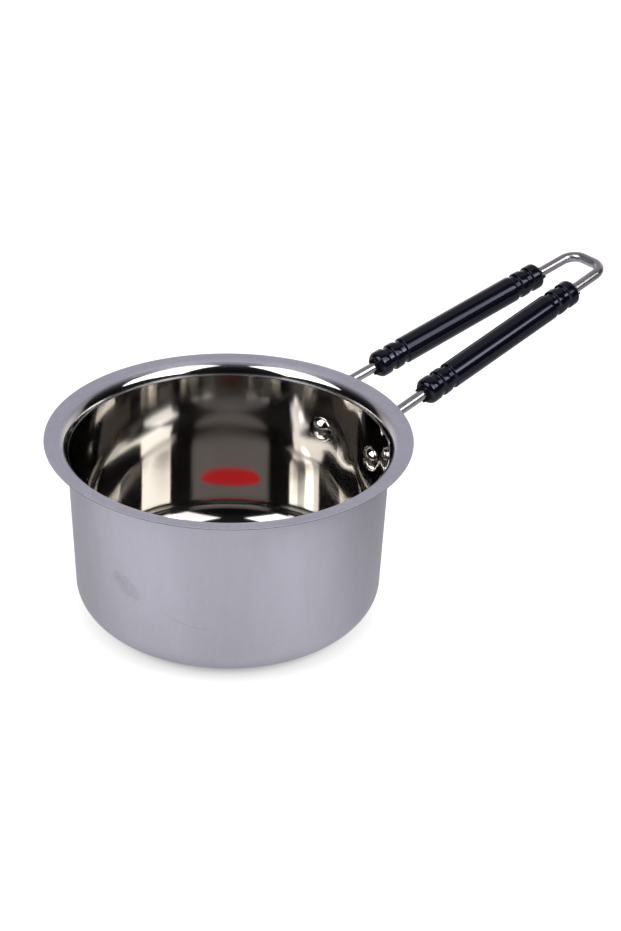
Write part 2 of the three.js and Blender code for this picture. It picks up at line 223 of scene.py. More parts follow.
class Studio(bpy.types.PropertyGroup):
    """Camera and lights."""

    lens: FloatProperty(name="Lens", description="Focal length in millimetres", default=89.05)
    view_azimuth: angle("View azimuth", "Direction of the camera from the handle", -39.97)
    softbox_left: brightness("Left softbox", "Softbox on the camera's left", 4.3)
    softbox_right: brightness("Right softbox", "Softbox on the camera's right", 3.2)
    core: brightness("Lamp", "Lamp in front of the right softbox", 6.0)
    side: brightness("Side lamp", "Lamp beside the right softbox", 3.0)
    backdrop: brightness("Backdrop", "Paper behind the pan", 0.38)
    horizon: brightness("Horizon", "Extra light low on the paper", 0.5)
    room: brightness("Room", "The dark room", 0.008)
    floor_glow: brightness("Floor glow", "Light that the floor itself gives", 1.0)


class SaucepanSettings(bpy.types.PropertyGroup):
    """All settings of the saucepan."""

    pan: PointerProperty(type=PanSizes)
    handle: PointerProperty(type=HandleSizes)
    grip: PointerProperty(type=GripSizes)
    label: PointerProperty(type=LabelSizes)
    finish: PointerProperty(type=Finishes)
    studio: PointerProperty(type=Studio)


# Surfaces


def smooth(edge0, edge1, x):
    """0 before edge0, 1 after edge1, and a smooth S between."""
    t = np.clip((x - edge0) / (edge1 - edge0), 0.0, 1.0)
    return t * t * (3.0 - 2.0 * t)


def unit(v):
    """Vectors scaled to length one, along the last axis."""
    return v / np.linalg.norm(v, axis=-1, keepdims=True)


def heading(azimuth):
    """The level direction at an angle from +X: its cosine and its sine."""
    return np.array([math.cos(azimuth), math.sin(azimuth), 0.0])


def arc(centre, radius, start, end, count):
    """Points (r, z) on a circle about a centre from one angle to another."""
    a = np.linspace(start, end, count)
    return np.stack([centre[0] + radius * np.cos(a), centre[1] + radius * np.sin(a)], -1)


def refine(points, step):
    """A polyline resampled so that no piece of it is longer than a step; its own points stay."""
    gaps = np.linalg.norm(np.diff(points, axis=0), axis=1)
    counts = np.maximum(np.ceil(gaps / step).astype(int), 1)
    starts = np.repeat(np.arange(len(gaps)), counts)
    share = (np.arange(counts.sum()) - np.repeat(np.cumsum(counts) - counts, counts)) / counts[starts]
    inner = points[starts] + share[:, None] * (points[starts + 1] - points[starts])
    return np.concatenate([inner, points[-1:]])


def full_turn(count):
    """Even angles round a full turn; the first isn't repeated at the end."""
    return np.arange(count) * TURN / count


def revolve(profile, count):
    """Profile points (r, z) turned about Z: x = r cos a, y = r sin a, over count angles."""
    a = full_turn(count)
    r, z = profile[:, None, 0], profile[:, None, 1]
    return np.stack([r * np.cos(a), r * np.sin(a), z + 0.0 * a], -1)


def sweep(centres, normals, tangents, sections):
    """Section points (x, y) carried along a path: centre + x normal + y (tangent x normal)."""
    across = np.cross(tangents, normals)
    moved = sections[..., :1] * normals[:, None] + sections[..., 1:] * across[:, None]
    return centres[:, None] + moved


def add_object(name, data):
    """A new object in the scene."""
    made = bpy.data.objects.new(name, data)
    bpy.context.scene.collection.objects.link(made)
    return made


def piece_from_rings(name, rings, joined=False, sharp=40.0, values=None):
    """A closed mesh over rings of points (m, n, 3) that run round. joined links the last ring to the first;
    otherwise a middle point closes each end. values holds a number for each ring, by attribute name."""
    m, n, _ = rings.shape
    i = np.arange(m if joined else m - 1)[:, None]
    j = np.arange(n)[None, :]
    here, there = i * n, ((i + 1) % m) * n
    after = (j + 1) % n
    quads = np.stack([here + j, here + after, there + after, there + j], -1).reshape(-1, 4)
    points = rings.reshape(-1, 3)
    fans = np.empty((0, 3), int)
    if not joined:
        points = np.concatenate([points, rings[0].mean(0)[None], rings[-1].mean(0)[None]])
        j, after, last = j[0], after[0], (m - 1) * n
        first_fan = np.stack([j * 0 + m * n, after, j], -1)
        last_fan = np.stack([j * 0 + m * n + 1, last + j, last + after], -1)
        fans = np.concatenate([first_fan, last_fan])
    triangles = np.concatenate([quads[:, [0, 1, 2]], quads[:, [0, 2, 3]], fans])
    a, b, c = (points[triangles[:, k]] for k in range(3))
    if np.einsum("ij,ij->", a, np.cross(b, c)) < 0.0:
        quads, fans = quads[:, ::-1], fans[:, ::-1]
    mesh = bpy.data.meshes.new(name)
    mesh.from_pydata(points.tolist(), [], quads.tolist() + fans.tolist())
    mesh.polygons.foreach_set("use_smooth", np.ones(len(mesh.polygons), bool))
    mesh.set_sharp_from_angle(angle=math.radians(sharp))
    for key, numbers in (values or {}).items():
        ends = numbers[:0] if joined else numbers[[0, -1]]
        flat = np.concatenate([np.repeat(numbers, n), ends]).astype(np.float32)
        mesh.attributes.new(key, "FLOAT", "POINT").data.foreach_set("value", flat)
    return add_object(name, mesh)


def dress(piece, body, node, material):
    """Gives a piece its material, ties it to its body and hides its CAD node."""
    piece.data.materials.append(material)
    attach(piece, body)
    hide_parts(node)


# Shared geometry of the pan and the handle


def flare_centre(pan):
    """Middle (r, z) of the curve under the rim."""
    reach = (pan.sheet + pan.flare_radius) * math.cos(pan.taper)
    return np.array([pan.mouth_radius + reach, pan.height - pan.sheet - pan.flare_radius])


def wall_radius(pan, z):
    """Outside radius of the leaning wall at a height."""
    centre = flare_centre(pan)
    top_r = centre[0] - pan.flare_radius * math.cos(pan.taper)
    top_z = centre[1] + pan.flare_radius * math.sin(pan.taper)
    return top_r + (z - top_z) * math.tan(pan.taper)


def corner_curve(pan, count):
    """Outside of the bottom corner (r, z) from base to wall, evenly spaced: a quarter of an ellipse laid
    against the base and the leaning wall."""
    t = np.linspace(0.0, RIGHT, 2000)
    z = pan.corner_height * (1.0 - np.cos(t))
    r = wall_radius(pan, z) - pan.corner_width * (1.0 - np.sin(t))
    run = np.concatenate([[0.0], np.cumsum(np.hypot(np.diff(r), np.diff(z)))])
    even = np.linspace(0.0, run[-1], count)
    return np.stack([np.interp(even, run, r), np.interp(even, run, z)], -1)


def rivet_height(pan, handle):
    """Height of the rivets."""
    return flare_centre(pan)[1] - handle.below_flare - handle.rivet_below


def wall_seat(pan, handle, side):
    """A rivet's place on the outside of the wall, with the wall's normal, level and upward directions."""
    z = rivet_height(pan, handle)
    r = wall_radius(pan, z)
    azimuth = side * math.asin(handle.spread_at_pan / 2.0 / r)
    outward, level = heading(azimuth), heading(azimuth + RIGHT)
    ct, st = math.cos(pan.taper), math.sin(pan.taper)
    return r * outward + z * UP, ct * outward - st * UP, level, st * outward + ct * UP


def leg_ends(pan, handle, grip, side):
    """Where a leg would meet the wall and where it would meet the loop's end bar."""
    place, normal, _, up = wall_seat(pan, handle, side)
    off = handle.clearance + handle.wire_diameter / 2.0
    corner = place + off * normal + handle.rivet_below / math.cos(pan.taper) * up
    reach = grip.gap_to_rim + grip.length + handle.loop_length
    x = pan.rim_radius + reach * math.cos(handle.rise)
    z = corner[2] + (x - corner[0]) * math.tan(handle.rise)
    return corner, np.array([x, side * handle.spread_at_loop / 2.0, z])


def leg_frame(settings, side):
    """The pan end of a grip and three directions: along the leg, and two across it."""
    pan, handle, grip = settings.pan, settings.handle, settings.grip
    corner, far = leg_ends(pan, handle, grip, side)
    along = unit(far - corner)
    x = pan.rim_radius + grip.gap_to_rim * math.cos(handle.rise)
    start = corner + along * (x - corner[0]) / along[0]
    level = unit(np.cross(UP, along))
    return start, along, level, np.cross(along, level)


def on_axis(rings, start, along, level, over):
    """Rings made about Z moved onto another axis: z runs along it from its start."""
    return start + rings[..., :1] * level + rings[..., 1:2] * over + rings[..., 2:] * along


# Shader arithmetic


class Shade:
    """A shader socket that takes part in Python arithmetic; every operation adds a Math node."""

    def __init__(self, tree, socket=None):
        self.tree = tree
        self.socket = socket

    def node(self, kind, settings=None, inputs=None, output=0):
        """Adds a node, applies its settings, then sets or links its inputs, and gives one output."""
        made = self.tree.nodes.new(kind)
        for key, value in (settings or {}).items():
            setattr(made, key, value)
        for key, value in (inputs or {}).items():
            if isinstance(value, Shade):
                self.tree.links.new(value.socket, made.inputs[key])
            else:
                made.inputs[key].default_value = value
        return Shade(self.tree, made.outputs[output])

    def math(self, operation, *values):
        """A Math node on numbers or sockets."""
        return self.node("ShaderNodeMath", {"operation": operation}, dict(enumerate(values)))

    def __add__(self, other):
        return self.math("ADD", self, other)

    __radd__ = __add__

    def __sub__(self, other):
        return self.math("SUBTRACT", self, other)

    def __rsub__(self, other):
        return self.math("SUBTRACT", other, self)

    def __mul__(self, other):
        return self.math("MULTIPLY", self, other)

    __rmul__ = __mul__

    def __truediv__(self, other):
        return self.math("DIVIDE", self, other)

    def __pow__(self, other):
        return self.math("POWER", self, other)

    def ramp(self, low, high):
        """0 where the value is low, 1 where it is high, with a smooth S between."""
        ranges = {1: low, 2: high, 3: 0.0, 4: 1.0}
        return self.node("ShaderNodeMapRange", {"interpolation_type": "SMOOTHSTEP"}, {0: self, **ranges})

    def xyz(self):
        """The three numbers of a vector."""
        split = self.node("ShaderNodeSeparateXYZ", None, {0: self}).socket.node
        return [Shade(self.tree, socket) for socket in split.outputs]

    def mix(self, first, second):
        """Two colours mixed by this value."""
        ends = {6: first, 7: second}
        ends = {k: v if isinstance(v, Shade) else (*v, 1.0) for k, v in ends.items()}
        return self.node("ShaderNodeMix", {"data_type": "RGBA"}, {0: self, **ends}, 2)


class Surface:
    """A new material with its shader, ready to be filled in."""

    def __init__(self, name):
        self.material = bpy.data.materials.new(name)
        self.material.use_nodes = True
        self.tree = self.material.node_tree
        self.shader = self.tree.nodes["Principled BSDF"]
        self.start = Shade(self.tree)
        self.place = self.start.node("ShaderNodeTexCoord", output="Object")

    def stretched(self, sx, sy, sz):
        """The place scaled along each axis."""
        values = {"Vector": self.place, "Scale": (sx, sy, sz)}
        return self.start.node("ShaderNodeMapping", None, values)

    def noise(self, vector, scale, detail=2.0, roughness=0.5):
        """Noise from 0 to 1 at a vector."""
        values = {"Vector": vector, "Scale": scale, "Detail": detail, "Roughness": roughness}
        return self.start.node("ShaderNodeTexNoise", None, values)

    def patch(self, centre, turn, size):
        """1 in the middle of an ellipsoid set on the object, falling smoothly to 0 at its skin."""
        values = {"Vector": self.place, "Location": centre, "Rotation": turn, "Scale": size}
        inside = self.start.node("ShaderNodeMapping", {"vector_type": "TEXTURE"}, values)
        away = self.start.node("ShaderNodeVectorMath", {"operation": "LENGTH"}, {0: inside}, "Value")
        return away.ramp(1.0, 0.0)

    def band(self, normal, offset, half):
        """1 on a plane through the object, falling to 0 at a distance to each side."""
        pair = {0: self.place, 1: normal}
        along = self.start.node("ShaderNodeVectorMath", {"operation": "DOT_PRODUCT"}, pair, "Value")
        return self.start.math("ABSOLUTE", along - offset).ramp(half, 0.0)

    def attribute(self, name):
        """A number kept on the piece's points."""
        return self.start.node("ShaderNodeAttribute", {"attribute_name": name}, output="Fac")

    def bump(self, height, distance, strength=1.0, normal=None):
        """A Bump node over a height."""
        values = {"Height": height, "Distance": distance, "Strength": strength}
        if normal is not None:
            values["Normal"] = normal
        return self.start.node("ShaderNodeBump", None, values)

    def fill(self, **sockets):
        """Sets or links the shader's sockets; underscores stand for spaces."""
        for key, value in sockets.items():
            socket = self.shader.inputs[key.replace("_", " ")]
            if isinstance(value, Shade):
                self.tree.links.new(value.socket, socket)
            else:
                socket.default_value = value
        return self.material

    def covered_by(self, shader, share):
        """Puts another shader over the material's own where the share is 1."""
        own = Shade(self.tree, self.shader.outputs[0])
        mixed = self.start.node("ShaderNodeMixShader", None, {0: share, 1: own, 2: shader})
        self.tree.links.new(mixed.socket, self.tree.nodes["Material Output"].inputs["Surface"])
        return self.material


def shades(base, low, high):
    """A colour times each of two numbers, none over 1."""
    return tuple(tuple(min(c * share, 1.0) for c in base) for share in (low, high))


def pan_steel(finish):
    """Steel of the pan: satin with turned lines, a thumb mark and a scratch outside, and painted shade along
    the rim's edge; mirror polished inside but duller in the bottom corner, where its colour is darkened as
    painted shade; and matt on the flat of the rim. The turned lines spread light across themselves, so the
    shader is stretched from base to rim."""
    s = Surface("pan_steel")
    x, y, z = s.place.xyz()
    radius = (x * x + y * y) ** 0.5
    polish, edge = s.attribute("polish"), s.attribute("edge")
    fine, slow = 1400.0, 25.0
    turned = {0: radius * fine, 1: z * fine, 2: (x + y) * slow}
    lines = s.noise(s.start.node("ShaderNodeCombineXYZ", None, turned), 1.0, 3.0, 0.6)
    clouds = s.noise(s.place, 22.0, 3.0, 0.55)
    grain = s.noise(s.place, 900.0, 1.0)
    streaks = s.noise(s.stretched(130.0, 130.0, 22.0), 1.0, 3.0, 0.6)
    flange = z.ramp(*MATT_RIM)
    thumb = s.patch(THUMB_PLACE, THUMB_TURN, THUMB_SIZE)
    smear = thumb.ramp(0.0, 0.3) * (0.5 + 0.5 * s.noise(s.place, 380.0, 2.0).ramp(0.35, 0.6))
    line = s.band(SCRATCH_PLANE, SCRATCH_OFFSET, SCRATCH_HALF_WIDTH)
    line = line * s.noise(s.place, 300.0, 1.0).ramp(0.35, 0.6)
    scratch = line * s.patch(SCRATCH_MIDDLE, (0.0, 0.0, 0.0), SCRATCH_REACH).ramp(0.0, 0.5)
    # The thumb smear and the scratch are marks; the rim's edge is painted shade, dark steel where the rolled
    # edge is in shadow.
    marks = smear * 0.14 + scratch * 0.13 + edge * 0.7
    grit = s.noise(s.place, 560.0, 2.0, 0.7)
    mottle = clouds * 0.32 + streaks * 0.24 + grit * 0.2 + lines * 0.12 + grain * 0.12
    satin = marks.mix(mottle.mix(*shades(finish.satin, 0.76, 1.24)), MARKS_AND_SHADE_STEEL)
    brushed = (clouds * 0.4 + grit * 0.6).mix(*shades(finish.satin, 0.82, 1.38))
    rough = 0.33 + clouds * 0.08 + lines * 0.05
    # The inside corner is rougher, and its mirror colour is halved there: painted shade in the corner.
    corner = z.ramp(*DULL_SHADED_FROM_TOP) * z.ramp(*DULL_SHADED_FROM_FLOOR)
    mirror = corner.mix(*shades(finish.mirror, 1.0, 0.5))
    sheen = 0.04 + clouds * 0.04 + corner * 0.03
    wave = s.bump(s.noise(s.place, 26.0, 1.0), 0.0012, 0.08)
    normal = s.bump(lines * (1.0 - polish), 0.00004, 0.5, wave)
    # The matt rim also goes dark at its edge: painted shade.
    matt = s.start.node("ShaderNodeBsdfPrincipled", None, {
        "Base Color": edge.mix(brushed, MARKS_AND_SHADE_STEEL),
        "Roughness": 0.68 + grit * 0.1,
        "Metallic": 1.0,
        "Normal": normal,
    })
    s.fill(
        Base_Color=polish.mix(satin, mirror),
        Roughness=rough * (1.0 - polish) + sheen * polish,
        Metallic=1.0,
        Anisotropic=0.8,
        Anisotropic_Rotation=0.25,
        Normal=normal,
    )
    return s.covered_by(matt, flange * (1.0 - polish))


def wire_steel(finish):
    """Drawn wire: bright steel with fine drawing lines along the legs."""
    s = Surface("wire_steel")
    lines = s.noise(s.stretched(14.0, 900.0, 900.0), 1.0, 1.0)
    clouds = s.noise(s.place, 60.0, 2.0)
    return s.fill(
        Base_Color=(clouds * 0.7 + lines * 0.3).mix(*shades(finish.wire, 0.85, 1.15)),
        Roughness=0.25 + clouds * 0.06 + lines * 0.03,
        Metallic=1.0,
    )


def rivet_steel(finish):
    """Polished rivet heads with a few shallow tool marks."""
    s = Surface("rivet_steel")
    marks = s.noise(s.place, 420.0, 2.0)
    return s.fill(
        Base_Color=marks.mix(*shades(finish.rivet, 0.9, 1.08)),
        Roughness=0.05 + marks * 0.06,
        Metallic=1.0,
        Normal=s.bump(marks, 0.0003, 0.25),
    )


def grip_black(finish):
    """Black turned sleeve: sanded lines along its length, shinier in the grooves, scuffed a little."""
    s = Surface("grip_black")
    lines = s.noise(s.stretched(28.0, 1100.0, 1100.0), 1.0, 2.0, 0.6)
    clouds = s.noise(s.place, 90.0, 3.0)
    specks = s.noise(s.place, 900.0, 2.0).ramp(0.62, 0.74)
    worn = 1.0 - s.attribute("shine")
    scuffed = tuple(c * 2.4 + 0.004 for c in finish.grip)
    return s.fill(
        Base_Color=(specks * 0.5 + lines * 0.3).mix(tuple(finish.grip), scuffed),
        Roughness=0.085 + worn * (lines * 0.06 + clouds * 0.03),
        Normal=s.bump(lines, 0.00005, 0.2),
        IOR=1.47,
        Specular_Tint=(0.74, 0.8, 1.0, 1.0),
    )


def liner_black(finish):
    """Soft black tube, dull and torn."""
    s = Surface("liner_black")
    mottle = s.noise(s.place, 700.0, 3.0)
    return s.fill(
        Base_Color=mottle.mix(*shades(finish.liner, 1.0, 3.0)),
        Roughness=0.5 + mottle * 0.25,
        Specular_IOR_Level=0.12,
        Normal=s.bump(mottle, 0.0002, 0.5),
    )


def label_red(finish):
    """Blank red film with a faint mottle."""
    s = Surface("label_red")
    mottle = s.noise(s.place, 260.0, 3.0)
    return s.fill(
        Base_Color=mottle.mix(*shades(finish.label, 0.85, 1.15)),
        Roughness=0.4 + mottle * 0.16,
        Specular_IOR_Level=0.15,
        Normal=s.bump(mottle, 0.00005, 0.4),
    )


# Pieces


def pan_profile(pan):
    """The pan's section as (r, z), from near the axis under the base, out, up and back in to the floor's
    middle. The wall is a straight line; an ellipse joins it to the base and an arc to the rim. Inside, the
    flare leaves the wall at a crisp line: the arc's first few degrees are straightened to a cone that meets
    the wall. Also gives the polish at each point, 0 satin outside and on the rim and 1 inside, and where the
    rim's cut edge is."""
    centre = flare_centre(pan)
    taper, sheet = pan.taper, pan.sheet
    corner = corner_curve(pan, 60)
    along = unit(np.gradient(corner, axis=0))
    along[0], along[-1] = (1.0, 0.0), (math.sin(taper), math.cos(taper))
    corner_inside = corner + sheet * np.stack([-along[:, 1], along[:, 0]], -1)
    rim = np.array([pan.rim_radius - sheet / 2.0, pan.height - sheet / 2.0])
    near_axis = 0.4 * MM
    outside = np.concatenate([
        [[near_axis, 0.0]],
        corner,
        arc(centre, pan.flare_radius, math.pi - taper, RIGHT, 24),
        arc(rim, sheet / 2.0, -RIGHT, RIGHT, 9),
    ])
    top = pan.flare_radius + sheet
    neck_from = math.pi - taper
    neck_to = neck_from - pan.neck_turn
    half = pan.neck_turn / 2.0
    to_neck = np.array([math.cos(neck_from - half), math.sin(neck_from - half)])
    neck = centre + top / math.cos(half) * to_neck
    bead = pan.neck_radius
    bead_centre = neck - bead / math.cos(half) * to_neck
    below_neck = np.linspace(0.3, 1.5, 5)[:, None] * MM
    inside = np.concatenate([
        arc(centre, top, RIGHT, neck_to, 30),
        arc(bead_centre, bead, neck_to, neck_from, 7),
        neck - below_neck * [math.sin(taper), math.cos(taper)],
        corner_inside[::-1],
        [[near_axis, sheet]],
    ])
    outside, inside = refine(outside, 3.0 * MM), refine(inside, 2.0 * MM)
    profile = np.concatenate([outside, inside])
    is_inside = np.arange(len(profile)) >= len(outside)
    tilt = np.arctan2(profile[:, 1] - centre[1], profile[:, 0] - centre[0])
    on_flare = is_inside & (profile[:, 1] > neck[1] - 1e-6)
    polish = np.where(is_inside, 1.0, 0.0)
    dull_to, bright_from, brightest = math.radians(106), math.radians(144), 0.93
    polish = np.where(on_flare, brightest * smooth(dull_to, bright_from, tilt), polish)
    crease_width, crease_loss = 0.45 * MM, 0.85
    crease = np.exp(-(((profile - neck) ** 2).sum(-1)) / crease_width**2)
    polish = np.where(is_inside, polish * (1.0 - crease_loss * crease), polish)
    # The rim's edge, which the steel paints dark as shade under the rolled edge.
    cut_from, cut_to = rim[0] + 0.02 * MM, rim[0] + 0.16 * MM
    cut_top = rim[1] + 0.05 * MM
    edge = smooth(cut_from, cut_to, profile[:, 0]) * (profile[:, 1] < cut_top)
    return profile, polish, edge


def pressed_flat(pan, handle, points):
    """Moves the wall out to its tangent plane round each rivet, where the paddle pulled it flat: by
    (r / cos of the angle away - r) times a weight that fades from 1 near the rivet to 0 further off."""
    z0 = rivet_height(pan, handle)
    flat_to, fades_at, most, widest = 5.0 * MM, 26.0 * MM, 0.55, 0.6
    r = np.hypot(points[..., 0], points[..., 1])
    out = np.zeros_like(r)
    for side in SIDES.values():
        place = wall_seat(pan, handle, side)[0]
        away = np.arctan2(points[..., 1], points[..., 0]) - math.atan2(place[1], place[0])
        away = np.clip(away, -widest, widest)
        distance = np.hypot(away * r, (points[..., 2] - z0) * 0.8)
        out += most * smooth(fades_at, flat_to, distance) * (r / np.cos(away) - r)
    scale = (r + out) / np.maximum(r, 1e-9)
    return points * np.stack([scale, scale, np.ones_like(scale)], -1)


def build_pan(settings):
    """The drawn pan as one turned skin."""
    profile, polish, edge = pan_profile(settings.pan)
    rings = pressed_flat(settings.pan, settings.handle, revolve(profile, PAN_ROUND))
    piece = piece_from_rings("pan_shell", rings, values={"polish": polish, "edge": edge})
    dress(piece, "pan", "pan_body", pan_steel(settings.finish))


def rounded_corner(a, b, c, radius, count):
    """Points on the arc that rounds the corner b between a and c."""
    into, out = unit(b - a), unit(c - b)
    turn = math.acos(float(np.clip(into @ out, -1.0, 1.0)))
    axis = unit(np.cross(into, out))
    to_centre = np.cross(axis, into)
    centre = b - into * radius * math.tan(turn / 2.0) + to_centre * radius
    t = np.linspace(0.0, turn, count)[:, None]
    return centre + radius * (into * np.sin(t) - to_centre * np.cos(t))


def half_wire(settings, side):
    """Stations of half the wire from its paddle's tip to the loop: centre, normal, thickness, width and
    flatness. On the wall the section eases from a flat paddle with a round tip to the full round wire, and
    the centre moves off the wall by half the thickness."""
    pan, handle, grip = settings.pan, settings.handle, settings.grip
    place, normal, _, up = wall_seat(pan, handle, side)
    corner, far = leg_ends(pan, handle, grip, side)
    reach = handle.bend_radius * math.tan((RIGHT - handle.rise) / 2.0)
    bend_start = handle.rivet_below / math.cos(pan.taper) - reach
    tip = handle.paddle_width / 2.0
    a = np.linspace(math.radians(4), RIGHT, 22)
    climb = np.linspace(0.0, 1.0, 34)
    s = np.concatenate([
        -tip * np.cos(a),
        [handle.paddle_flat / 2.0],
        handle.paddle_flat + climb * (bend_start - handle.paddle_flat),
    ])
    flat = 1.0 - smooth(handle.paddle_flat, bend_start, s)
    thick = handle.wire_diameter + flat * (handle.paddle_thickness - handle.wire_diameter)
    wide = handle.wire_diameter + flat * (handle.paddle_width - handle.wire_diameter)
    wide[: len(a)] *= np.sin(a)
    thick[: len(a)] *= np.sqrt(np.clip(np.sin(a) * 3.0, 0.0, 1.0))
    wall = place + (handle.clearance + thick / 2.0)[:, None] * normal + s[:, None] * up
    foot = place + (handle.clearance + handle.wire_diameter / 2.0) * normal
    bend = rounded_corner(foot, corner, far, handle.bend_radius, 30)[1:]
    straight = np.linspace(0.0, 1.0, 30)[1:-1, None]
    middle = far * [1.0, 0.0, 1.0]
    loop = rounded_corner(corner, far, middle, handle.loop_radius, 34)
    leg = bend[-1] + straight * (loop[0] - bend[-1])
    bar = loop[-1] + np.linspace(0.0, 1.0, 5)[1:-1, None] * (middle - loop[-1])
    centres = np.concatenate([wall, bend, leg, loop, bar])
    extra = len(centres) - len(wall)
    down = np.array([math.sin(handle.rise), 0.0, -math.cos(handle.rise)])
    round_bend = np.linspace(0.0, 1.0, len(bend))
    turned = np.concatenate([np.zeros(len(wall)), round_bend, np.ones(extra - len(bend))])
    normals = normal + turned[:, None] * (down - normal)
    full = np.full(extra, handle.wire_diameter)
    thick, wide = np.concatenate([thick, full]), np.concatenate([wide, full])
    return centres, normals, thick, wide, np.concatenate([flat, np.zeros(extra)])


def build_wire(settings):
    """The bent wire: a section carried along both halves, a circle that squares up where it is flat."""
    halves = [half_wire(settings, side) for side in SIDES.values()]
    joined = [np.concatenate([first, second[::-1]]) for first, second in zip(*halves)]
    centres, normals, thick, wide, flat = joined
    tangents = unit(np.gradient(centres, axis=0))
    normals = unit(normals - np.sum(normals * tangents, -1, keepdims=True) * tangents)
    a = full_turn(WIRE_ROUND)
    power = (1.0 - 0.55 * flat)[:, None]
    round_x = np.sign(np.cos(a)) * np.abs(np.cos(a)) ** power
    round_y = np.sign(np.sin(a)) * np.abs(np.sin(a)) ** power
    sections = np.stack([thick[:, None] / 2.0 * round_x, wide[:, None] / 2.0 * round_y], -1)
    piece = piece_from_rings("bent_wire", sweep(centres, normals, tangents, sections))
    dress(piece, "pan", "handle_wire", wire_steel(settings.finish))


def rivet_profile(pan, handle):
    """Section (r, x) of a rivet, x along its axis outwards from the wall: a domed head with a small flat
    brim inside the pan, the shank, and the low dome of the set end outside. A dome is a circle's arc with
    the given foot radius and height."""
    def dome(radius, height, base, way):
        ball = (radius**2 + height**2) / (2.0 * height)
        opening = math.asin(radius / ball)
        a = np.linspace(0.0, opening, 22)
        return np.stack([ball * np.sin(a), base + way * (height - ball + ball * np.cos(a))], -1)

    brim = 0.5 * MM
    inner = -pan.sheet
    outer = 2.0 * handle.clearance + handle.paddle_thickness
    head = dome(handle.head_radius, handle.head_height - brim, inner - brim, -1.0)
    tail = dome(handle.tail_radius, handle.tail_height, outer, 1.0)[::-1]
    shank = [[handle.head_radius, inner], [handle.shank_radius, inner], [handle.shank_radius, outer]]
    return np.concatenate([head[1:], shank, tail[:-1]])


def build_rivets(settings):
    """Two rivets, each turned about the wall's normal."""
    steel = rivet_steel(settings.finish)
    rings = revolve(rivet_profile(settings.pan, settings.handle), RIVET_ROUND)
    for hand, side in SIDES.items():
        placed = on_axis(rings, *wall_seat(settings.pan, settings.handle, side))
        piece = piece_from_rings(f"{hand}_rivet_bright", placed)
        dress(piece, "pan", f"{hand}_rivet", steel)


def groove_places(grip):
    """Middles of the four grooves along a grip, two at each end."""
    far = grip.length - grip.loop_groove
    return np.array([grip.pan_groove, grip.pan_groove + grip.groove_pitch, far - grip.groove_pitch, far])


def groove_share(grip, z):
    """How deep the grooves are along a grip, from 0 to 1: an eased slope down, a flat floor and a steep
    shoulder on the loop's side."""
    share = 0.0 * z
    for place in groove_places(grip):
        across = (z - place) / (grip.groove_width / 2.0)
        share += smooth(-1.05, -0.65, across) * smooth(0.95, 0.45, across) * (1.0 - 0.12 * across)
    return share


def grip_radius(grip, z):
    """Outside radius of a grip along its length: a cylinder with rounded ends, less the grooves."""
    pan_end = np.clip(1.0 - z / grip.pan_end_radius, 0.0, 1.0)
    loop_end = np.clip(1.0 - (grip.length - z) / grip.loop_end_radius, 0.0, 1.0)
    radius = grip.radius - grip.pan_end_radius * (1.0 - np.sqrt(1.0 - pan_end**2))
    radius = radius - grip.loop_end_radius * (1.0 - np.sqrt(1.0 - loop_end**2))
    return radius - grip.groove_depth * groove_share(grip, z)


def grip_profile(grip):
    """A grip's closed section (r, z), its outside and a bore with a small chamfer at each end, and how
    shiny each point is: most in the grooves and on the bead by the pan, and below 0 on the sawn ends."""
    ends = np.array([0.0, 0.01, 0.04, 0.09, 0.16, 0.25, 0.36, 0.5, 0.65, 0.82])
    fine = (groove_places(grip)[:, None] + np.linspace(-2.0, 2.0, 61) * MM).reshape(-1)
    straight = np.linspace(grip.pan_end_radius, grip.length - grip.loop_end_radius, 60)
    z = np.concatenate([
        ends * grip.pan_end_radius,
        np.unique(np.concatenate([fine, straight]).round(6)),
        grip.length - ends[::-1] * grip.loop_end_radius,
    ])
    outside = np.stack([grip_radius(grip, z), z], -1)
    chamfer = 0.5 * MM
    bore = refine(np.array([
        [grip.bore_radius + chamfer, grip.length],
        [grip.bore_radius, grip.length - chamfer],
        [grip.bore_radius, chamfer],
        [grip.bore_radius + chamfer, 0.0],
    ]), 20.0 * MM)
    bead = 0.8 * smooth(grip.pan_groove, grip.pan_groove - 2.0 * MM, z)
    sawn = 1.5 * smooth(2.6 * MM, 1.2 * MM, np.minimum(z, grip.length - z + 1.0 * MM))
    shine = np.maximum(groove_share(grip, z), bead) - sawn
    return np.concatenate([outside, bore]), np.concatenate([shine, np.zeros(len(bore))])


def build_grips(settings):
    """Two turned grips, one on each leg."""
    black = grip_black(settings.finish)
    profile, shine = grip_profile(settings.grip)
    rings = revolve(profile, GRIP_ROUND)
    for hand, side in SIDES.items():
        placed = on_axis(rings, *leg_frame(settings, side))
        name = f"{hand}_grip_sleeve"
        piece = piece_from_rings(name, placed, joined=True, sharp=50.0, values={"shine": shine})
        dress(piece, f"{hand}_grip", f"{hand}_grip", black)


def torn_end(grip, a, phase, spikes):
    """How far a liner's torn end stands out of the grip round the tube: a low ragged edge, a sum of
    cosines, with spikes on it, each a bell about an angle with its length in millimetres."""
    ragged = 0.35 + 0.16 * np.cos(a + phase) + 0.14 * np.cos(4.0 * a + 2.0 * phase)
    ragged = ragged + 0.1 * np.cos(9.0 * a - phase)
    shows = grip.liner_shows * np.clip(ragged, 0.05, None)
    for middle, reach, width in spikes:
        turn = (a - math.radians(middle) + math.pi) % TURN - math.pi
        shows = shows + reach * MM * np.exp(-((turn / width) ** 2))
    return shows


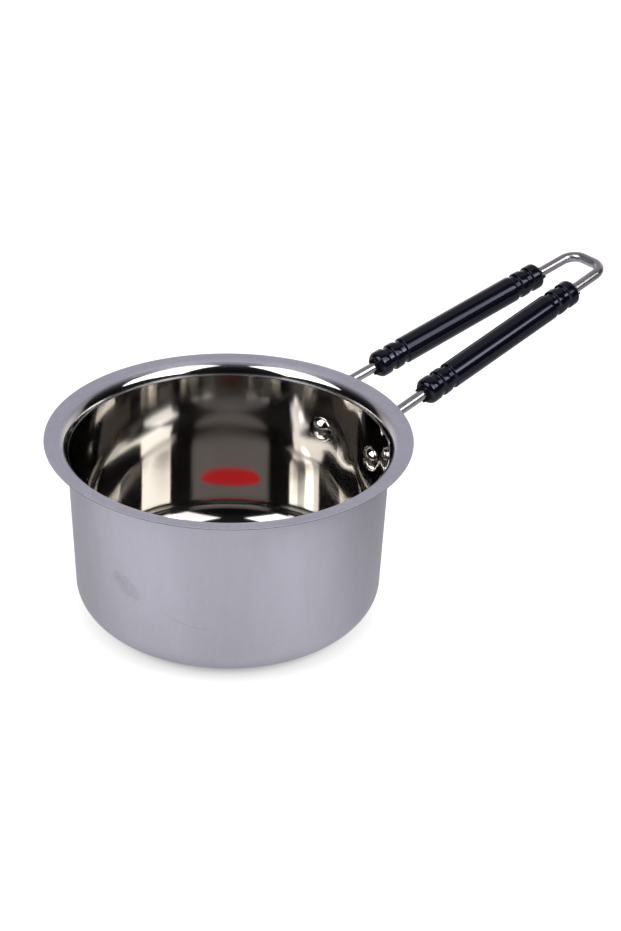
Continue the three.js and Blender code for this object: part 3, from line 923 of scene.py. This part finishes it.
def liner_rings(grip, hand):
    """A liner as a tube with torn ends, which close in a little on the wire."""
    a = full_turn(LINER_ROUND)
    low = -torn_end(grip, a, 1.3, TORN[hand][0])
    high = grip.length + torn_end(grip, a, 4.1, TORN[hand][1])
    thick = grip.liner_outside - grip.liner_inside
    tip = grip.liner_outside - 0.35 * thick
    closed_in, swollen = tip - 0.1 * MM, tip + 0.2 * MM
    hidden, most = 2.0 * MM, 0.75
    rows = [
        (grip.liner_inside, low),
        (grip.liner_inside, high),
        (closed_in, high),
        (swollen, high * most + grip.length * (1.0 - most)),
        (grip.liner_outside, grip.length - hidden),
        (grip.liner_outside, hidden),
        (swollen, low * most),
        (closed_in, low),
    ]
    r = np.array([row[0] for row in rows])[:, None]
    z = np.stack([row[1] + 0.0 * a for row in rows])
    return np.stack([r * np.cos(a), r * np.sin(a), z], -1)


def build_liners(settings):
    """Two torn liners between the wire and the grips."""
    black = liner_black(settings.finish)
    for hand, side in SIDES.items():
        rings = liner_rings(settings.grip, hand)
        placed = on_axis(rings, *leg_frame(settings, side))
        piece = piece_from_rings(f"{hand}_liner_torn", placed, joined=True)
        dress(piece, "pan", f"{hand}_grip_liner", black)


def build_label(settings):
    """The blank label: an egg shrunk towards its middle in rings, with a thin edge. The egg is an ellipse
    whose width falls with the cosine towards the wall."""
    label, floor = settings.label, settings.pan.sheet
    a = full_turn(LABEL_ROUND)
    shares = np.array([0.02, 0.3, 0.6, 0.85, 0.97, 1.0, 1.0, 0.5, 0.02])[:, None]
    levels = np.array([1.0, 1.0, 1.0, 1.0, 0.98, 0.8, 0.0, 0.0, 0.0])[:, None]
    egg = 1.08 - 0.26 * np.cos(a)
    along = label.off_middle + shares * label.length / 2.0 * np.cos(a)
    across = shares * label.width / 2.0 * np.sin(a) * egg
    c, s = math.cos(label.azimuth), math.sin(label.azimuth)
    height = floor + levels * label.thickness + 0.0 * along
    rings = np.stack([along * c - across * s, along * s + across * c, height], -1)
    piece = piece_from_rings("floor_label_film", rings)
    dress(piece, "pan", "floor_label", label_red(settings.finish))


# Studio


def add_turned(name, data, *columns):
    """A new object in the scene with its three axes and its place."""
    made = add_object(name, data)
    made.matrix_world = Matrix([*np.stack(columns, -1).tolist(), [0.0, 0.0, 0.0, 1.0]])
    return made


def studio_camera(settings):
    """The camera of the photograph: pitch, roll and place in rim radii, in a frame turned from the part's
    by the view azimuth."""
    place = np.array(CAMERA_TO_PAN) * settings.pan.rim_radius
    cp, sp = math.cos(CAMERA_PITCH), math.sin(CAMERA_PITCH)
    cr, sr = math.cos(CAMERA_ROLL), math.sin(CAMERA_ROLL)
    level = np.array([[1.0, 0.0, 0.0], [0.0, -sp, -cp], [0.0, cp, -sp]])
    axes = np.array([[cr, -sr, 0.0], [sr, cr, 0.0], [0.0, 0.0, 1.0]]) @ level
    ca, sa = math.cos(settings.studio.view_azimuth), math.sin(settings.studio.view_azimuth)
    spin = np.array([[ca, -sa, 0.0], [sa, ca, 0.0], [0.0, 0.0, 1.0]])
    location = spin @ (-axes.T @ place)
    right, down, forward = (spin @ row for row in axes)
    data = bpy.data.cameras.new("photo_camera")
    data.lens = settings.studio.lens
    bpy.context.scene.camera = add_turned("photo_camera", data, right, -down, -forward, location)


def area_light(name, azimuth, elevation, faces, roll, width, height, bright):
    """An upright rectangular light at a distance from the pan in a direction. It faces along a level
    direction and leans sideways by a roll; it shows in reflections, not to the camera."""
    a, e, f, t = (math.radians(v) for v in (azimuth, elevation, faces, roll))
    place = LIGHT_DISTANCE * (math.cos(e) * heading(a) + math.sin(e) * UP)
    away, side = heading(f), heading(f + RIGHT)
    data = bpy.data.lights.new(name, "AREA")
    data.shape = "RECTANGLE"
    data.size, data.size_y = width, height
    data.energy = bright * math.pi * width * height
    wide = side * math.cos(t) + UP * math.sin(t)
    tall = UP * math.cos(t) - side * math.sin(t)
    light = add_turned(name, data, wide, tall, away, place)
    light.visible_camera = False


def studio_floor(settings):
    """A pale round floor that glows, less in a soft shadow round the base. Reflections find it dimmer
    behind the pan, to one side and close by."""
    a = full_turn(FLOOR_ROUND)
    rim = FLOOR_RADIUS * np.stack([np.cos(a), np.sin(a), 0.0 * a], -1) - [0.0, 0.0, FLOOR_DROP]
    mesh = bpy.data.meshes.new("studio_floor")
    mesh.from_pydata(rim.tolist(), [], [list(range(FLOOR_ROUND))])
    floor = add_object("studio_floor", mesh)
    s = Surface("studio_floor")
    x, y, _ = s.place.xyz()
    radius = (x * x + y * y) ** 0.5
    shadow = (radius.ramp(*SHADOW_TIGHT) + radius.ramp(*SHADOW_WIDE)) * SHADOW_SHARE
    ahead = settings.studio.view_azimuth - RIGHT
    nearer = x * math.cos(ahead) + y * math.sin(ahead)
    sideways = y * math.cos(ahead) - x * math.sin(ahead)
    front = nearer.ramp(-0.12, 0.1)
    aside = sideways.ramp(0.1, 0.3)
    close = radius.ramp(0.19, 0.09)
    seen = s.start.node("ShaderNodeLightPath", output="Is Camera Ray")
    mirrored = (0.55 + 0.45 * front) * (1.0 - 0.6 * aside) * (1.0 - 0.28 * close)
    dim = seen + (0.86 - 0.86 * seen) * mirrored
    glow = settings.studio.floor_glow * dim * (1.0 - shadow)
    s.fill(
        Base_Color=s.noise(s.place, 3.0, 2.0).mix(*shades(settings.finish.floor, 0.98, 1.0)),
        Roughness=0.8,
        Emission_Color=glow.mix(BLACK, WHITE),
        Emission_Strength=1.0,
    )
    mesh.materials.append(s.material)


def studio_room(settings):
    """A dark room with pale paper behind the pan, brightest low down, and a ceiling a little lighter than
    the walls. The camera itself sees plain white."""
    studio = settings.studio
    world = bpy.data.worlds.new("studio_room")
    world.use_nodes = True
    tree = world.node_tree
    start = Shade(tree)
    x, y, z = start.node("ShaderNodeTexCoord", output="Generated").xyz()
    behind = studio.view_azimuth + RIGHT
    level = (x * x + y * y + 1e-6) ** 0.5
    toward = (x * math.cos(behind) + y * math.sin(behind)) / level
    paper = toward.ramp(0.47, 0.62) * (1.0 - 0.12 * z.ramp(0.5, 0.64))
    low = toward.ramp(0.55, 0.85) * (1.0 - z.ramp(0.3, 0.43))
    dusk = 1.0 + 2.0 * z.ramp(0.7, 0.9)
    bright = dusk * studio.room + paper * studio.backdrop + low * studio.horizon
    tinted = {0: (1.0, 0.95, 0.99), "Scale": bright}
    tint = start.node("ShaderNodeVectorMath", {"operation": "SCALE"}, tinted)
    seen = start.node("ShaderNodeLightPath", output="Is Camera Ray")
    tree.links.new(seen.mix(tint, WHITE).socket, tree.nodes["Background"].inputs["Color"])
    bpy.context.scene.world = world


def build_stage(settings):
    """The floor, a softbox on each side of the camera, two lamps by the right one, and the room."""
    studio = settings.studio
    bpy.context.scene.view_settings.view_transform = "Standard"
    facing = math.degrees(studio.view_azimuth) - 90.0
    radiances = (studio.softbox_left, studio.softbox_right, studio.core, studio.side)
    for (name, numbers), bright in zip(LIGHTS.items(), radiances):
        azimuth, elevation, faces, *rest = numbers
        area_light(name, facing + azimuth, elevation, facing + faces, *rest, bright)
    studio_floor(settings)
    studio_room(settings)


# Add-on


class SAUCEPAN_OT_stage(bpy.types.Operator):
    """Make the floor, the lights and the camera"""

    bl_idname = "saucepan.stage"
    bl_label = "Studio"

    def execute(self, context):
        studio_camera(context.scene.saucepan)
        build_stage(context.scene.saucepan)
        return {"FINISHED"}


class SAUCEPAN_OT_pan(bpy.types.Operator):
    """Make the drawn steel pan"""

    bl_idname = "saucepan.pan"
    bl_label = "Pan"

    def execute(self, context):
        build_pan(context.scene.saucepan)
        return {"FINISHED"}


class SAUCEPAN_OT_wire(bpy.types.Operator):
    """Make the bent wire handle"""

    bl_idname = "saucepan.wire"
    bl_label = "Wire"

    def execute(self, context):
        build_wire(context.scene.saucepan)
        return {"FINISHED"}


class SAUCEPAN_OT_rivets(bpy.types.Operator):
    """Make both rivets"""

    bl_idname = "saucepan.rivets"
    bl_label = "Rivets"

    def execute(self, context):
        build_rivets(context.scene.saucepan)
        return {"FINISHED"}


class SAUCEPAN_OT_grips(bpy.types.Operator):
    """Make both turned grips"""

    bl_idname = "saucepan.grips"
    bl_label = "Grips"

    def execute(self, context):
        build_grips(context.scene.saucepan)
        return {"FINISHED"}


class SAUCEPAN_OT_liners(bpy.types.Operator):
    """Make both torn liners"""

    bl_idname = "saucepan.liners"
    bl_label = "Liners"

    def execute(self, context):
        build_liners(context.scene.saucepan)
        return {"FINISHED"}


class SAUCEPAN_OT_label(bpy.types.Operator):
    """Make the blank label on the floor"""

    bl_idname = "saucepan.label"
    bl_label = "Label"

    def execute(self, context):
        build_label(context.scene.saucepan)
        return {"FINISHED"}


class SAUCEPAN_PT_sidebar(bpy.types.Panel):
    """The saucepan's pieces and settings"""

    bl_idname = "SAUCEPAN_PT_sidebar"
    bl_label = "Saucepan"
    bl_space_type = "VIEW_3D"
    bl_region_type = "UI"
    bl_category = "Saucepan"

    def draw(self, context):
        column = self.layout.column()
        for step in STEPS:
            column.operator(step.bl_idname)
        settings = context.scene.saucepan
        for group in SaucepanSettings.__annotations__:
            box = self.layout.box()
            box.label(text=group.capitalize())
            for key in getattr(settings, group).__annotations__:
                box.prop(getattr(settings, group), key)


STEPS = (
    SAUCEPAN_OT_stage,
    SAUCEPAN_OT_pan,
    SAUCEPAN_OT_wire,
    SAUCEPAN_OT_rivets,
    SAUCEPAN_OT_grips,
    SAUCEPAN_OT_liners,
    SAUCEPAN_OT_label,
)
GROUPS = (PanSizes, HandleSizes, GripSizes, LabelSizes, Finishes, Studio, SaucepanSettings)
CLASSES = (*GROUPS, *STEPS, SAUCEPAN_PT_sidebar)


def register():
    """Registers the classes and puts the settings on the scene."""
    for cls in CLASSES:
        bpy.utils.register_class(cls)
    bpy.types.Scene.saucepan = PointerProperty(type=SaucepanSettings)


def unregister():
    """Takes the settings and classes away again."""
    del bpy.types.Scene.saucepan
    for cls in reversed(CLASSES):
        bpy.utils.unregister_class(cls)


def main():
    """Builds everything in order."""
    register()
    bpy.ops.saucepan.stage()
    bpy.ops.saucepan.pan()
    bpy.ops.saucepan.wire()
    bpy.ops.saucepan.rivets()
    bpy.ops.saucepan.grips()
    bpy.ops.saucepan.liners()
    bpy.ops.saucepan.label()


if __name__ == "__main__":
    main()
